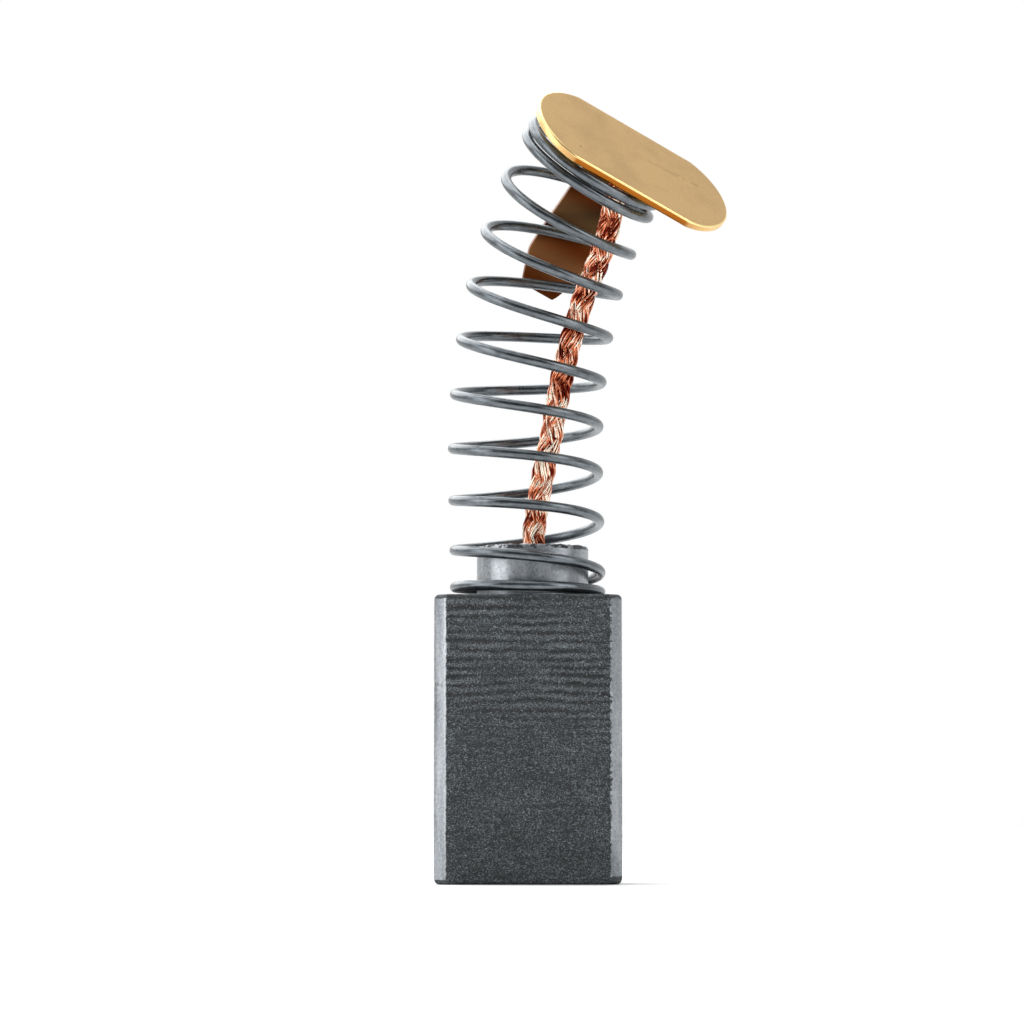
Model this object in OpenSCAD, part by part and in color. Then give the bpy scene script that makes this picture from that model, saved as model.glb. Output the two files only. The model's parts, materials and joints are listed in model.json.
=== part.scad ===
// Carbon brush: a pressed carbon block with a round stub, a leaning coil spring over a braided
// copper pigtail, and a stamped brass cap with a folded tongue that lies along the spring.
// Millimetres. Origin: centre of the contact face, +Z along the block away from that face.

/* [Carbon block] */
// Width of the block, across its broad face
block_w = 7.6; // [6.8:0.1:9]
// Thickness of the block, front to back
block_t = 6.5; // [6:0.1:8]
// Length of the block, from the contact face to the shoulder
block_l = 11.7; // [9:0.1:16]
// Bevel along the four long edges
edge_bevel = 0.5; // [0.2:0.05:0.8]
// Bevel round the contact face and the shoulder
face_bevel = 0.16; // [0.05:0.01:0.3]
// Diameter of the round stub that centres the spring
stub_d = 4.6; // [3.6:0.1:4.9]
// Length of the stub
stub_l = 2.1; // [1.5:0.1:3]
// Distance of the stub's middle from the block's middle, across the broad face
stub_shift = 0.2; // [0:0.05:0.2]
// Bevel round the top of the stub
stub_bevel = 0.12; // [0.05:0.01:0.3]
// Depth of the pigtail hole, from the top of the stub
hole_depth = 4.6; // [3:0.1:8]
// Wall of tamped copper powder between the pigtail and the hole
tamp_wall = 0.32; // [0.2:0.01:0.5]

/* [Spring] */
// Wire diameter
wire_d = 0.43; // [0.3:0.01:0.5]
// Coil diameter at the middle of the wire
coil_d = 6; // [5.6:0.1:6.8]
// Turns, end to end
coil_turns = 10.9; // [8:0.1:13]
// Rise of one open turn
coil_pitch = 2.07; // [1.7:0.01:2.4]
// Turns that lie closed at the foot
foot_turns = 0.8; // [0.6:0.1:1.2]
// Turns that lie closed under the cap
head_turns = 1.65; // [1.2:0.05:2]
// Angle from upright of the spring's upper end
lean = 40; // [20:0.1:42]
// Direction that the spring leans in, round the block
lean_direction = -36; // [-50:1:-20]
// How late the bend comes along the spring
lean_power = 2.2; // [1.8:0.1:3]
// Angle by which the lower half sways the other way
sway = 3; // [0:0.1:4]

/* [Pigtail] */
// Diameter of the braided pigtail over its strands
braid_d = 1.14; // [0.95:0.01:1.2]
// Diameter of one strand
strand_d = 0.22; // [0.14:0.01:0.24]
// Strands that run each way round the braid
strands_each_way = 4; // [3:1:4]
// Rise of a strand in one turn round the braid
braid_pitch = 6.4; // [5:0.1:8]

/* [Terminal cap] */
// Thickness of the brass sheet
sheet_t = 0.34; // [0.25:0.01:0.4]
// Width of the cap plate
plate_w = 5; // [4.6:0.1:5.4]
// Length of the cap plate over its rounded ends
plate_l = 9.2; // [8.4:0.1:10]
// Radius of the plate's rounded ends
plate_end_r = 2.62; // [2.6:0.01:3]
// Angle from level of the plate
plate_tilt = 49.7; // [44:0.1:54]
// Direction that the plate slopes down in
plate_direction = -45.6; // [-55:0.1:-36]
// Turn of the plate in its own plane
plate_turn = 55; // [48:0.1:60]
// Distance that the plate's middle stands out past the coil, along the plate
overhang = 1.12; // [0.6:0.05:1.4]
// Distance that the plate's middle lies in front of the coil's middle
setback = 0.37; // [0:0.05:0.6]
// Width of the tongue
tongue_w = 2.6; // [2:0.02:3]
// Distance of the tongue's middle from the plate's middle
tongue_shift = 0.7; // [0:0.05:0.8]
// Length of the tongue's slanted root, behind the plate's edge
tongue_root = 1.65; // [1.6:0.05:2]
// Length of the tongue's hanging part
tongue_l = 6.85; // [4:0.05:8]
// Length of the taper at the tongue's end
tongue_taper = 1.5; // [0.8:0.1:2]
// Width of the tongue's blunt end
tongue_end_w = 1.5; // [0.8:0.1:2]

/* [Hidden] */

graphite = "#50555a";
spring_steel = "#85898c";
copper = "#c9764d";
brass = "#c9ab77";
tamped_copper = "#6b5348";
solder = "#a8a9a6";

cut = 0.01;
stub_top = block_l + stub_l;
seat_gap = 0.02;

// The spring's axis bends in one plane: at the share t of its length it leans by lean * t ^ lean_power,
// less the sway of its lower half
axis_steps = 60;
closed_pitch = wire_d + seat_gap;
ease_turns = 0.5;
head_start = coil_turns - head_turns;

function smooth(t) = let(c = min(max(t, 0), 1)) c * c * (3 - 2 * c);
function open_share(turn) =
    smooth((turn - foot_turns + ease_turns / 2) / ease_turns)
    * (1 - smooth((turn - head_start + ease_turns / 2) / ease_turns));
function rise_rate(turn) = closed_pitch + (coil_pitch - closed_pitch) * open_share(turn);

rings_per_turn = 28;
wire_sides = 8;
wire_rings = round(coil_turns * rings_per_turn);
turn_step = coil_turns / wire_rings;
// Height of the wire along the spring's axis at each ring, summed turn by turn
wire_rise = [for (i = 0, h = 0; i <= wire_rings; h = h + rise_rate((i + 0.5) * turn_step) * turn_step, i = i + 1) h];
axis_l = wire_rise[wire_rings];

axis_step = axis_l / axis_steps;
function lean_at(t) = lean * pow(max(t, 0), lean_power) - sway * sin(360 * min(t, 0.5));
axis_path = [for (i = 0, x = 0, z = 0; i <= axis_steps;
    x = x + sin(lean_at((i + 0.5) / axis_steps)) * axis_step,
    z = z + cos(lean_at((i + 0.5) / axis_steps)) * axis_step,
    i = i + 1) [x, z]];

function about_z(p, a) = [p.x * cos(a) - p.y * sin(a), p.x * sin(a) + p.y * cos(a), p.z];
foot_z = block_l + seat_gap + wire_d / 2;
// A point of the bent axis, and its two cross directions, at the distance s along it
function axis_point(s) =
    let(f = min(max(s / axis_step, 0), axis_steps - 0.001), i = floor(f), w = f - i,
        p = axis_path[i] * (1 - w) + axis_path[i + 1] * w)
    about_z([p[0], 0, p[1] + foot_z], lean_direction);
function axis_side(s) = about_z([cos(lean_at(s / axis_l)), 0, -sin(lean_at(s / axis_l))], lean_direction);
function axis_cross() = about_z([0, 1, 0], lean_direction);
function axis_along(s) = about_z([sin(lean_at(s / axis_l)), 0, cos(lean_at(s / axis_l))], lean_direction);
// A point beside the axis: a is the direction round it, as a world azimuth, and r the distance
function beside_axis(s, a, r) =
    axis_point(s) + r * (cos(a - lean_direction) * axis_side(s) + sin(a - lean_direction) * axis_cross());

// Left-hand wire: the direction falls as the wire climbs
function wire_point(i) = beside_axis(wire_rise[i], -360 * i * turn_step, coil_d / 2);
wire_path = [for (i = [0:wire_rings]) wire_point(i)];

// The plate's own directions: long axis, short axis to the rear, and the normal of its top face
function turned(p) = about_z([p.x * cos(plate_tilt) + p.z * sin(plate_tilt), p.y,
    -p.x * sin(plate_tilt) + p.z * cos(plate_tilt)], plate_direction);
function plate_vector(p) = turned(about_z(p, plate_turn));
// The plate bears on the highest part of the last coil, and overhangs it to one side
head_s = wire_rise[round(wire_rings - rings_per_turn / 2)];
plate_normal = plate_vector([0, 0, 1]);
head_centre = axis_point(head_s);
head_top = max([for (i = [wire_rings - rings_per_turn:wire_rings]) (wire_path[i] - head_centre) * plate_normal]);
plate_rise = head_top + wire_d / 2 + seat_gap + sheet_t;
plate_centre = head_centre + plate_vector([overhang, -setback, plate_rise]);

module on_plate() {
    translate(plate_centre) rotate([0, 0, plate_direction]) rotate([0, plate_tilt, 0])
        rotate([0, 0, plate_turn]) children();
}

// The pigtail leaves the hole beside the spring's axis and drifts across the coil to the plate
braid_foot = stub_top - hole_depth + 0.3;
joint_u = -0.1;
joint_h = 0.45;
braid_end = plate_centre + plate_vector([joint_u, 0, -sheet_t - joint_h]);
braid_knots = [
    [0.25, 0.3, braid_foot],
    [0.25, 0.3, block_l],
    [0.25, 0.3, stub_top + 0.4],
    [0.5, 0.25, 16.1],
    [1, 0.1, 18.6],
    [1.5, -0.1, 21.2],
    [2.25, -0.5, 23.9],
    [3.1, -1.05, 26.1],
    braid_end
];
// Catmull-Rom curve through the knots
function knot(i) = braid_knots[min(max(i, 0), len(braid_knots) - 1)];
function curve(i, t) = 0.5 * (2 * knot(i) + (knot(i + 1) - knot(i - 1)) * t
    + (2 * knot(i - 1) - 5 * knot(i) + 4 * knot(i + 1) - knot(i + 2)) * t * t
    + (3 * knot(i) - knot(i - 1) - 3 * knot(i + 1) + knot(i + 2)) * t * t * t);
braid_rings = 62;
spans = len(braid_knots) - 1;
function braid_at(w) = let(f = min(w * spans, spans - 0.00001), i = floor(f)) curve(i, f - i);
braid_line = [for (i = [0:braid_rings]) braid_at(i / braid_rings)];
braid_run = [for (i = 0, h = 0; i <= braid_rings;
    h = h + norm(braid_line[min(i + 1, braid_rings)] - braid_line[i]), i = i + 1) h];

function unit(v) = v / norm(v);
function heading(path, i) = unit(path[min(i + 1, len(path) - 1)] - path[max(i - 1, 0)]);
// Cross directions of the pigtail, kept level with the Y axis so that it never twists
function braid_a(i) = unit(cross([0, 1, 0], heading(braid_line, i)));
function braid_b(i) = cross(heading(braid_line, i), braid_a(i));

weave_wave = (strand_d + seat_gap) / 2;
strand_r = braid_d / 2 - weave_wave - strand_d / 2;
strand_sides = 5;
// One strand winds round the pigtail and passes over and under the strands that run the other way
function strand_path(n, way) = [for (i = [0:braid_rings])
    let(a = way * 360 * braid_run[i] / braid_pitch + 360 * n / strands_each_way,
        over = sin(strands_each_way * 360 * braid_run[i] / braid_pitch),
        r = strand_r + way * weave_wave * over)
    braid_line[i] + r * (cos(a) * braid_a(i) + sin(a) * braid_b(i))];

// A round wire swept along a path: each ring is turned from the last by the least angle
function carried(v, h) = unit(v - (v * h) * h);
function frames(path) = [for (i = 0, v = carried([0.31, 0.95, 0.11], heading(path, 0)); i < len(path);
    i = i + 1, v = carried(v, heading(path, min(i, len(path) - 1)))) v];
module wire(path, d, sides) {
    side = frames(path);
    rings = len(path);
    points = [for (i = [0:rings - 1], j = [0:sides - 1])
        let(h = heading(path, i), v = side[i], w = cross(h, v), a = 360 * j / sides)
        path[i] + d / 2 * (cos(a) * v + sin(a) * w)];
    walls = [for (i = [0:rings - 2], j = [0:sides - 1])
        let(k = (j + 1) % sides) [i * sides + j, (i + 1) * sides + j, (i + 1) * sides + k, i * sides + k]];
    foot = [for (j = [0:sides - 1]) j];
    head = [for (j = [sides - 1:-1:0]) (rings - 1) * sides + j];
    polyhedron(points, concat(walls, [foot, head]), convexity = 10);
}

module bevelled_plan(w, t, b) {
    polygon([[-w / 2 + b, -t / 2], [w / 2 - b, -t / 2], [w / 2, -t / 2 + b], [w / 2, t / 2 - b],
        [w / 2 - b, t / 2], [-w / 2 + b, t / 2], [-w / 2, t / 2 - b], [-w / 2, -t / 2 + b]]);
}

module lengthwise(w, t) {
    // A bevelled outline of width w and height block_l, carried t deep along Y
    translate([0, t / 2, block_l / 2]) rotate([90, 0, 0])
        linear_extrude(height = t) bevelled_plan(w, block_l, face_bevel);
}

module carbon_block() {
    color(graphite) difference() {
        union() {
            intersection() {
                linear_extrude(height = block_l) bevelled_plan(block_w, block_t, edge_bevel);
                lengthwise(block_w, block_t);
                rotate([0, 0, 90]) lengthwise(block_t, block_w);
            }
            translate([stub_shift, 0, 0]) rotate_extrude($fn = 96) polygon([[0, block_l - 1], [stub_d / 2, block_l - 1],
                [stub_d / 2, stub_top - stub_bevel], [stub_d / 2 - stub_bevel, stub_top], [0, stub_top]]);
        }
        translate([braid_knots[0].x, braid_knots[0].y, stub_top - hole_depth])
            cylinder(d = hole_d, h = hole_depth + cut, $fn = 48);
    }
}

grip_d = braid_d + 2 * seat_gap;
hole_d = grip_d + 2 * tamp_wall;
plug_sink = 0.12;
module tamping_plug() {
    // Powder tamped round the pigtail, a little below the rim of its hole
    color(tamped_copper) translate([braid_knots[0].x, braid_knots[0].y, stub_top - hole_depth])
        difference() {
            cylinder(d = hole_d - 2 * cut, h = hole_depth - plug_sink, $fn = 48);
            translate([0, 0, 0.2]) cylinder(d = grip_d, h = hole_depth, $fn = 48);
        }
}

module pigtail_braid() {
    color(copper) for (n = [0:strands_each_way - 1]) {
        wire(strand_path(n, 1), strand_d, strand_sides);
        wire(strand_path(n + 0.5, -1), strand_d, strand_sides);
    }
}

module coil_spring() {
    color(spring_steel) wire(wire_path, wire_d, wire_sides);
}

// Half the length of the plate's straight sides, from its ends' arcs
end_sag = plate_end_r - sqrt(plate_end_r * plate_end_r - plate_w * plate_w / 4);
plate_straight = plate_l - 2 * end_sag;
module plate_outline() {
    intersection() {
        square([plate_l, plate_w], center = true);
        translate([plate_l / 2 - plate_end_r, 0]) circle(r = plate_end_r, $fn = 128);
    }
    intersection() {
        square([plate_l, plate_w], center = true);
        translate([plate_end_r - plate_l / 2, 0]) circle(r = plate_end_r, $fn = 128);
    }
    square([plate_straight, plate_w], center = true);
}

// Side view of the tongue: a bend at the plate's rear edge, a slanted root, then the hanging part
root_slope = 46;
hang_slope = 104;
bend_r = 0.35;
wave = 0.16;
arc_steps = 6;
function arc(c, r, a0, a1) = [for (i = [0:arc_steps])
    let(a = a0 + (a1 - a0) * i / arc_steps) c + r * [cos(a), sin(a)]];
function down(a) = [cos(a), -sin(a)];
// The fold starts inside the plate's edge, so that it stays below the plate
fold_v = plate_w / 2 - 0.32;
root_from = [fold_v, 0] + (bend_r + sheet_t) * [sin(root_slope), cos(root_slope) - 1];
root_to = root_from + tongue_root * down(root_slope);
hang_turn = hang_slope - root_slope;
hang_from = root_to + (bend_r + sheet_t) * [sin(hang_slope) - sin(root_slope), cos(hang_slope) - cos(root_slope)];
hang_steps = 12;
hang_line = [for (i = [0:hang_steps])
    let(t = i / hang_steps) hang_from + t * tongue_l * down(hang_slope)
        + wave * sin(360 * t) * smooth(4 * t) * smooth(4 - 4 * t) * [-sin(hang_slope), -cos(hang_slope)]];
outer_line = concat([[fold_v - 0.3, 0]],
    arc([fold_v, -bend_r - sheet_t], bend_r + sheet_t, 90, 90 - root_slope),
    arc(root_to - (bend_r + sheet_t) * [sin(root_slope), cos(root_slope)], bend_r + sheet_t, 90 - root_slope,
        90 - hang_slope),
    hang_line);
function line_normal(p, i) = let(h = unit(p[min(i + 1, len(p) - 1)] - p[max(i - 1, 0)])) [h.y, -h.x];
clean_line = [for (i = [0:len(outer_line) - 1]) if (i == 0 || norm(outer_line[i] - outer_line[i - 1]) > 0.001)
    outer_line[i]];
inner_line = [for (i = [len(clean_line) - 1:-1:0]) clean_line[i] + sheet_t * line_normal(clean_line, i)];

module tongue() {
    // The bent strip, cut to a tapered end by a prism seen along the strip
    translate([tongue_shift, 0, 0]) intersection() {
        translate([-tongue_w / 2, 0, 0]) rotate([90, 0, 90])
            linear_extrude(height = tongue_w) polygon(concat(clean_line, inner_line));
        translate([0, hang_from.x, hang_from.y]) rotate([90 - hang_slope, 0, 0])
            rotate([90, 0, 0]) translate([0, -tongue_l, -8]) linear_extrude(height = 16)
                polygon([[-tongue_end_w / 2, -1], [tongue_end_w / 2, -1], [tongue_end_w / 2, 0],
                    [tongue_w / 2 + cut, tongue_taper], [tongue_w / 2 + cut, tongue_l + 9],
                    [-tongue_w / 2 - cut, tongue_l + 9], [-tongue_w / 2 - cut, tongue_taper],
                    [-tongue_end_w / 2, 0]]);
    }
}

module terminal_cap() {
    color(brass) on_plate() {
        translate([0, 0, -sheet_t]) linear_extrude(height = sheet_t) plate_outline();
        tongue();
    }
}

joint_d = 2.2;
module solder_joint() {
    // A low cone of solder that holds the pigtail's end to the underside of the plate
    color(solder) on_plate() translate([joint_u, 0, -sheet_t - joint_h + seat_gap])
        cylinder(d1 = joint_d * 0.6, d2 = joint_d, h = joint_h - seat_gap, $fn = 48);
}

carbon_block();
tamping_plug();
pigtail_braid();
coil_spring();
terminal_cap();
solder_joint();
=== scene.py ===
"""A carbon brush, dressed for its render.

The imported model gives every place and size. Each sub-assembly below makes a finer surface for one of its
nodes, in the frame's own millimetres, and gives it the finish of the real piece.
"""

import json
import logging
import math
from abc import ABC, abstractmethod
from dataclasses import dataclass, field
from enum import Enum
from typing import Any, ClassVar

import bpy
import numpy as np
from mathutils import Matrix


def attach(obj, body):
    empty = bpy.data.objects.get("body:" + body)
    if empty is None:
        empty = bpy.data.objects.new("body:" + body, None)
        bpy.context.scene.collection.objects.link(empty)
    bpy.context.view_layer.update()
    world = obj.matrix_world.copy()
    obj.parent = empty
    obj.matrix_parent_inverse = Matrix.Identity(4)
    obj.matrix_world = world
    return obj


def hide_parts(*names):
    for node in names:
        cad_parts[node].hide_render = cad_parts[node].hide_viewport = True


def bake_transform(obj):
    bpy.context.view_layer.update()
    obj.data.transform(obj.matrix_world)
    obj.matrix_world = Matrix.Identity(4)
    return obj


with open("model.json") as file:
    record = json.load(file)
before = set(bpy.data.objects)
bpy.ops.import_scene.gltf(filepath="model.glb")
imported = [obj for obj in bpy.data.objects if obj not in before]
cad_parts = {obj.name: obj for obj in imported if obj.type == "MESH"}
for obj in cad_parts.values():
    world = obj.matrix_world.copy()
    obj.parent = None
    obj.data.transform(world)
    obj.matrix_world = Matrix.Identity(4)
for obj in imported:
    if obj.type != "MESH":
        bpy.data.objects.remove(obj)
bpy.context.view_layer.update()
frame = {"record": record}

LOG = logging.getLogger("carbon_brush")
MM = 0.001
TURN = 2.0 * math.pi
QUARTER = math.pi / 2
TUBE_END_RINGS = 3
POLE_R = 0.02
# Numbers of the Mix node's sockets for colours, which share their names with those for plain values
COLOUR_A, COLOUR_B, COLOUR_OUT = 6, 7, 2

Triple = tuple[float, float, float]
Stops = tuple[tuple[float, str], ...]


class Body(Enum):
    """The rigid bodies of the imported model."""

    BLOCK = "block"
    CAP = "cap"


class Slot(Enum):
    """The record's material slots."""

    CARBON = "carbon"
    POWDER = "tamped_powder"
    BRAID = "copper_braid"
    SPRING = "spring_steel"
    BRASS = "brass_sheet"
    SOLDER = "solder"


# Shared arithmetic


def smooth(t: np.ndarray) -> np.ndarray:
    """Smoothstep of t, clipped to the range 0 to 1.

    Args:
        t: Any array.

    Returns:
        t * t * (3 - 2 * t) of the clipped values.
    """
    c = np.clip(t, 0.0, 1.0)
    return c * c * (3.0 - 2.0 * c)


def unit(v: np.ndarray) -> np.ndarray:
    """Vectors of length one along the last axis.

    Args:
        v: Array of vectors.

    Returns:
        The same directions, each of length one.
    """
    return v / np.maximum(np.linalg.norm(v, axis=-1, keepdims=True), 1e-12)


def about_z(points: np.ndarray, degrees: float) -> np.ndarray:
    """Points turned about the Z axis.

    Args:
        points: Array of points.
        degrees: Angle of the turn, by the right-hand rule.

    Returns:
        The turned points.
    """
    c, s = math.cos(math.radians(degrees)), math.sin(math.radians(degrees))
    return points @ np.array([[c, s, 0.0], [-s, c, 0.0], [0.0, 0.0, 1.0]])


def around(angle: np.ndarray) -> np.ndarray:
    """Points of the unit circle: the cosine and the sine of each angle."""
    return np.stack([np.cos(angle), np.sin(angle)], -1)


def running_sum(steps: np.ndarray) -> np.ndarray:
    """The sum of the steps up to each place, which starts at 0."""
    return np.concatenate([[0.0], np.cumsum(steps)])


def run_along(line: np.ndarray) -> np.ndarray:
    """Distance along a line at each of its points: the running sum of the straight steps."""
    return running_sum(np.linalg.norm(np.diff(line, axis=0), axis=1))


def between(a: np.ndarray, b: np.ndarray, shares: np.ndarray) -> np.ndarray:
    """Outlines on the way from one to another: a * (1 - share) + b * share.

    Args:
        a: First outline.
        b: Second outline, with as many points.
        shares: Places on the way, from 0 to 1.

    Returns:
        One outline for each share.
    """
    s = shares[:, None, None]
    return a * (1 - s) + b * s


def at_heights(flats: np.ndarray, heights: np.ndarray) -> np.ndarray:
    """Flat outlines, each set at its own height.

    Args:
        flats: The outlines, one after another.
        heights: One height for each.

    Returns:
        The rings of points.
    """
    return np.concatenate([flats, np.repeat(heights[:, None, None], flats.shape[1], 1)], -1)


def revolved(radii: np.ndarray, heights: np.ndarray, sides: int) -> np.ndarray:
    """Circles about the Z axis, one for each radius and its height.

    Args:
        radii: The radii.
        heights: The heights.
        sides: Points round each circle.

    Returns:
        The rings of points.
    """
    angle = np.linspace(0.0, TURN, sides, endpoint=False)
    return at_heights(radii[:, None, None] * around(angle), heights)


@dataclass(frozen=True)
class Grain:
    """Smooth random values on a repeating lattice, for uneven surfaces.

    The value at a point is the trilinear blend, eased by smoothstep, of the random numbers at the eight
    corners of its lattice cell. The cell's size is in millimetres.
    """

    seed: int
    cell: Triple
    side: int = 32

    def at(self, points: np.ndarray) -> np.ndarray:
        """Values from -1 to 1 at the given points.

        Args:
            points: Array of points in millimetres.

        Returns:
            One value for each point.
        """
        table = np.random.default_rng(self.seed).uniform(-1.0, 1.0, (self.side,) * 3)
        q = points / np.array(self.cell)
        base = np.floor(q).astype(int)
        ease = smooth(q - base)
        total = np.zeros(points.shape[:-1])
        for corner in np.ndindex(2, 2, 2):
            weight = np.prod(np.where(np.array(corner) == 1, ease, 1.0 - ease), axis=-1)
            i = (base + np.array(corner)) % self.side
            total += weight * table[i[..., 0], i[..., 1], i[..., 2]]
        return total


# Meshes


@dataclass
class Surface:
    """Rings of points that close into a skin, with values kept on the points."""

    points: np.ndarray
    values: dict[str, np.ndarray] = field(default_factory=dict)

    def count(self) -> int:
        """Number of points in the skin."""
        return self.points.shape[0] * self.points.shape[1]

    def faces(self, start: int) -> list[list[int]]:
        """Quads between neighbouring rings, and one face that closes each end.

        Args:
            start: Number of the skin's first point in its mesh.

        Returns:
            The faces, each as the numbers of its points.
        """
        rings, sides = self.points.shape[:2]
        i, j = np.meshgrid(np.arange(rings - 1), np.arange(sides), indexing="ij")
        k = (j + 1) % sides
        quads = np.stack([i * sides + j, i * sides + k, (i + 1) * sides + k, (i + 1) * sides + j], -1)
        ends = np.stack([np.arange(sides)[::-1], np.arange(sides) + (rings - 1) * sides])
        return (quads.reshape(-1, 4) + start).tolist() + (ends + start).tolist()


def make_piece(name: str, surfaces: list[Surface], material: bpy.types.Material) -> bpy.types.Object:
    """One mesh object from closed skins, at the origin, in metres.

    Args:
        name: Name of the object.
        surfaces: Closed skins in millimetres, all with the same values.
        material: The finish.

    Returns:
        The new object, linked into the scene.
    """
    faces: list[list[int]] = []
    start = 0
    for surface in surfaces:
        faces.extend(surface.faces(start))
        start += surface.count()
    points = np.concatenate([surface.points.reshape(-1, 3) for surface in surfaces])
    mesh = bpy.data.meshes.new(name)
    mesh.from_pydata((points * MM).tolist(), [], faces)
    for key in surfaces[0].values:
        value = np.concatenate([surface.values[key].reshape(surface.count(), -1) for surface in surfaces])
        kind, channel = ("FLOAT", "value") if value.shape[1] == 1 else ("FLOAT_VECTOR", "vector")
        attribute = mesh.attributes.new(key, kind, "POINT")
        attribute.data.foreach_set(channel, value.astype(np.float32).ravel())
    mesh.materials.append(material)
    mesh.polygons.foreach_set("use_smooth", np.ones(len(mesh.polygons), bool))
    mesh.update()
    piece = bpy.data.objects.new(name, mesh)
    bpy.context.scene.collection.objects.link(piece)
    return piece


def tube(path: np.ndarray, side: np.ndarray, radius: float, sides: int, rounding: float) -> Surface:
    """A round wire carried along a path, with its ends rounded off.

    Point (i, j) is path[i] + r * (cos(a) * n + sin(a) * b), where a is j's share of a turn, n is the side
    direction made square to the path and b is square to both. Near each end r follows a quarter circle.

    Args:
        path: Points of the middle line.
        side: One reference direction for each point.
        radius: Radius of the wire.
        sides: Points round the wire.
        rounding: Radius of the rounding at the ends.

    Returns:
        The skin, with the value "grain": distance along the wire and the place in its section.
    """
    extra = TUBE_END_RINGS
    turns = np.linspace(0.0, QUARTER, extra + 1)
    ahead = unit(path[-1] - path[-2])
    behind = unit(path[0] - path[1])
    head = path[-1] + np.outer(np.sin(turns[1:]), ahead) * rounding
    foot = path[0] + np.outer(np.sin(turns[:0:-1]), behind) * rounding
    line = np.concatenate([foot, path, head])
    directions = np.concatenate([np.repeat(side[:1], extra, 0), side, np.repeat(side[-1:], extra, 0)])
    radii = np.full(len(line), radius)
    ends = radius - rounding + rounding * np.cos(turns)
    radii[:extra] = ends[:0:-1]
    radii[-extra:] = ends[1:]
    heading = unit(np.gradient(line, axis=0))
    heading[:extra] = heading[extra]
    heading[-extra:] = heading[-extra - 1]
    n = unit(directions - (directions * heading).sum(-1, keepdims=True) * heading)
    b = np.cross(heading, n)
    section = around(np.linspace(0.0, TURN, sides, endpoint=False))
    outward = section[None, :, :1] * n[:, None] + section[None, :, 1:] * b[:, None]
    across = radii[:, None, None] * section
    run = np.repeat(run_along(line)[:, None, None], sides, 1)
    points = line[:, None] + radii[:, None, None] * outward
    return Surface(points, {"grain": np.concatenate([run, across], -1)})


# Materials


def linear(colour: str) -> tuple[float, float, float, float]:
    """A hex sRGB colour as Blender's linear values.

    Args:
        colour: Six hex digits.

    Returns:
        Red, green, blue and alpha.
    """
    parts = [int(colour[i : i + 2], 16) / 255.0 for i in (0, 2, 4)]
    red, green, blue = (c / 12.92 if c <= 0.04045 else ((c + 0.055) / 1.055) ** 2.4 for c in parts)
    return red, green, blue, 1.0


def add_node(
    tree: bpy.types.NodeTree,
    kind: str,
    sockets: dict[str | int, Any] | None = None,
    out: str | int = 0,
    stops: Stops = (),
    **settings: Any,
) -> bpy.types.NodeSocket | None:
    """Adds a node, sets it up, links it and hands on one of its outputs.

    Args:
        tree: The node tree.
        kind: Blender's name for the node, without its prefix.
        sockets: Values or output sockets for its inputs, by name or number.
        out: Name or number of the output that is wanted.
        stops: For a colour ramp, places from 0 to 1, each with its hex colour.
        **settings: The node's own properties.

    Returns:
        The output socket, or None where the node has no outputs.
    """
    made = tree.nodes.new("ShaderNode" + kind)
    for name, value in settings.items():
        setattr(made, name, value)
    for key, value in (sockets or {}).items():
        if isinstance(value, bpy.types.NodeSocket):
            tree.links.new(value, made.inputs[key])
        else:
            made.inputs[key].default_value = value
    if stops:
        elements = made.color_ramp.elements
        while len(elements) < len(stops):
            elements.new(0.5)
        for element, (place, colour) in zip(elements, stops):
            element.position, element.color = place, linear(colour)
    return made.outputs[out] if len(made.outputs) else None


def grain_pattern(
    tree: bpy.types.NodeTree, where: bpy.types.NodeSocket, per_mm: Triple, detail: float, mm: float = MM
) -> bpy.types.NodeSocket:
    """Random tone in cells of a real size.

    Args:
        tree: The node tree.
        where: The coordinates.
        per_mm: Cells for each millimetre along three directions.
        detail: Octaves of finer grain.
        mm: Length of a millimetre in the coordinates.

    Returns:
        The tone's socket, about 0.5 on average.
    """
    placed = add_node(tree, "Mapping", {"Vector": where, "Scale": [cells / mm for cells in per_mm]})
    settings = {"Vector": placed, "Scale": 1.0, "Detail": detail, "Roughness": 0.6}
    return add_node(tree, "TexNoise", settings, "Fac")


def layered(tree: bpy.types.NodeTree, colour: Any, layers: list[tuple[Any, Any]]) -> bpy.types.NodeSocket:
    """A colour with others laid over it.

    Args:
        tree: The node tree.
        colour: The lowest layer.
        layers: The share and the colour of each layer above it, from the lowest up.

    Returns:
        The colour's socket.
    """
    for share, over in layers:
        sockets = {0: share, COLOUR_A: colour, COLOUR_B: over}
        colour = add_node(tree, "Mix", sockets, COLOUR_OUT, data_type="RGBA")
    return colour


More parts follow.
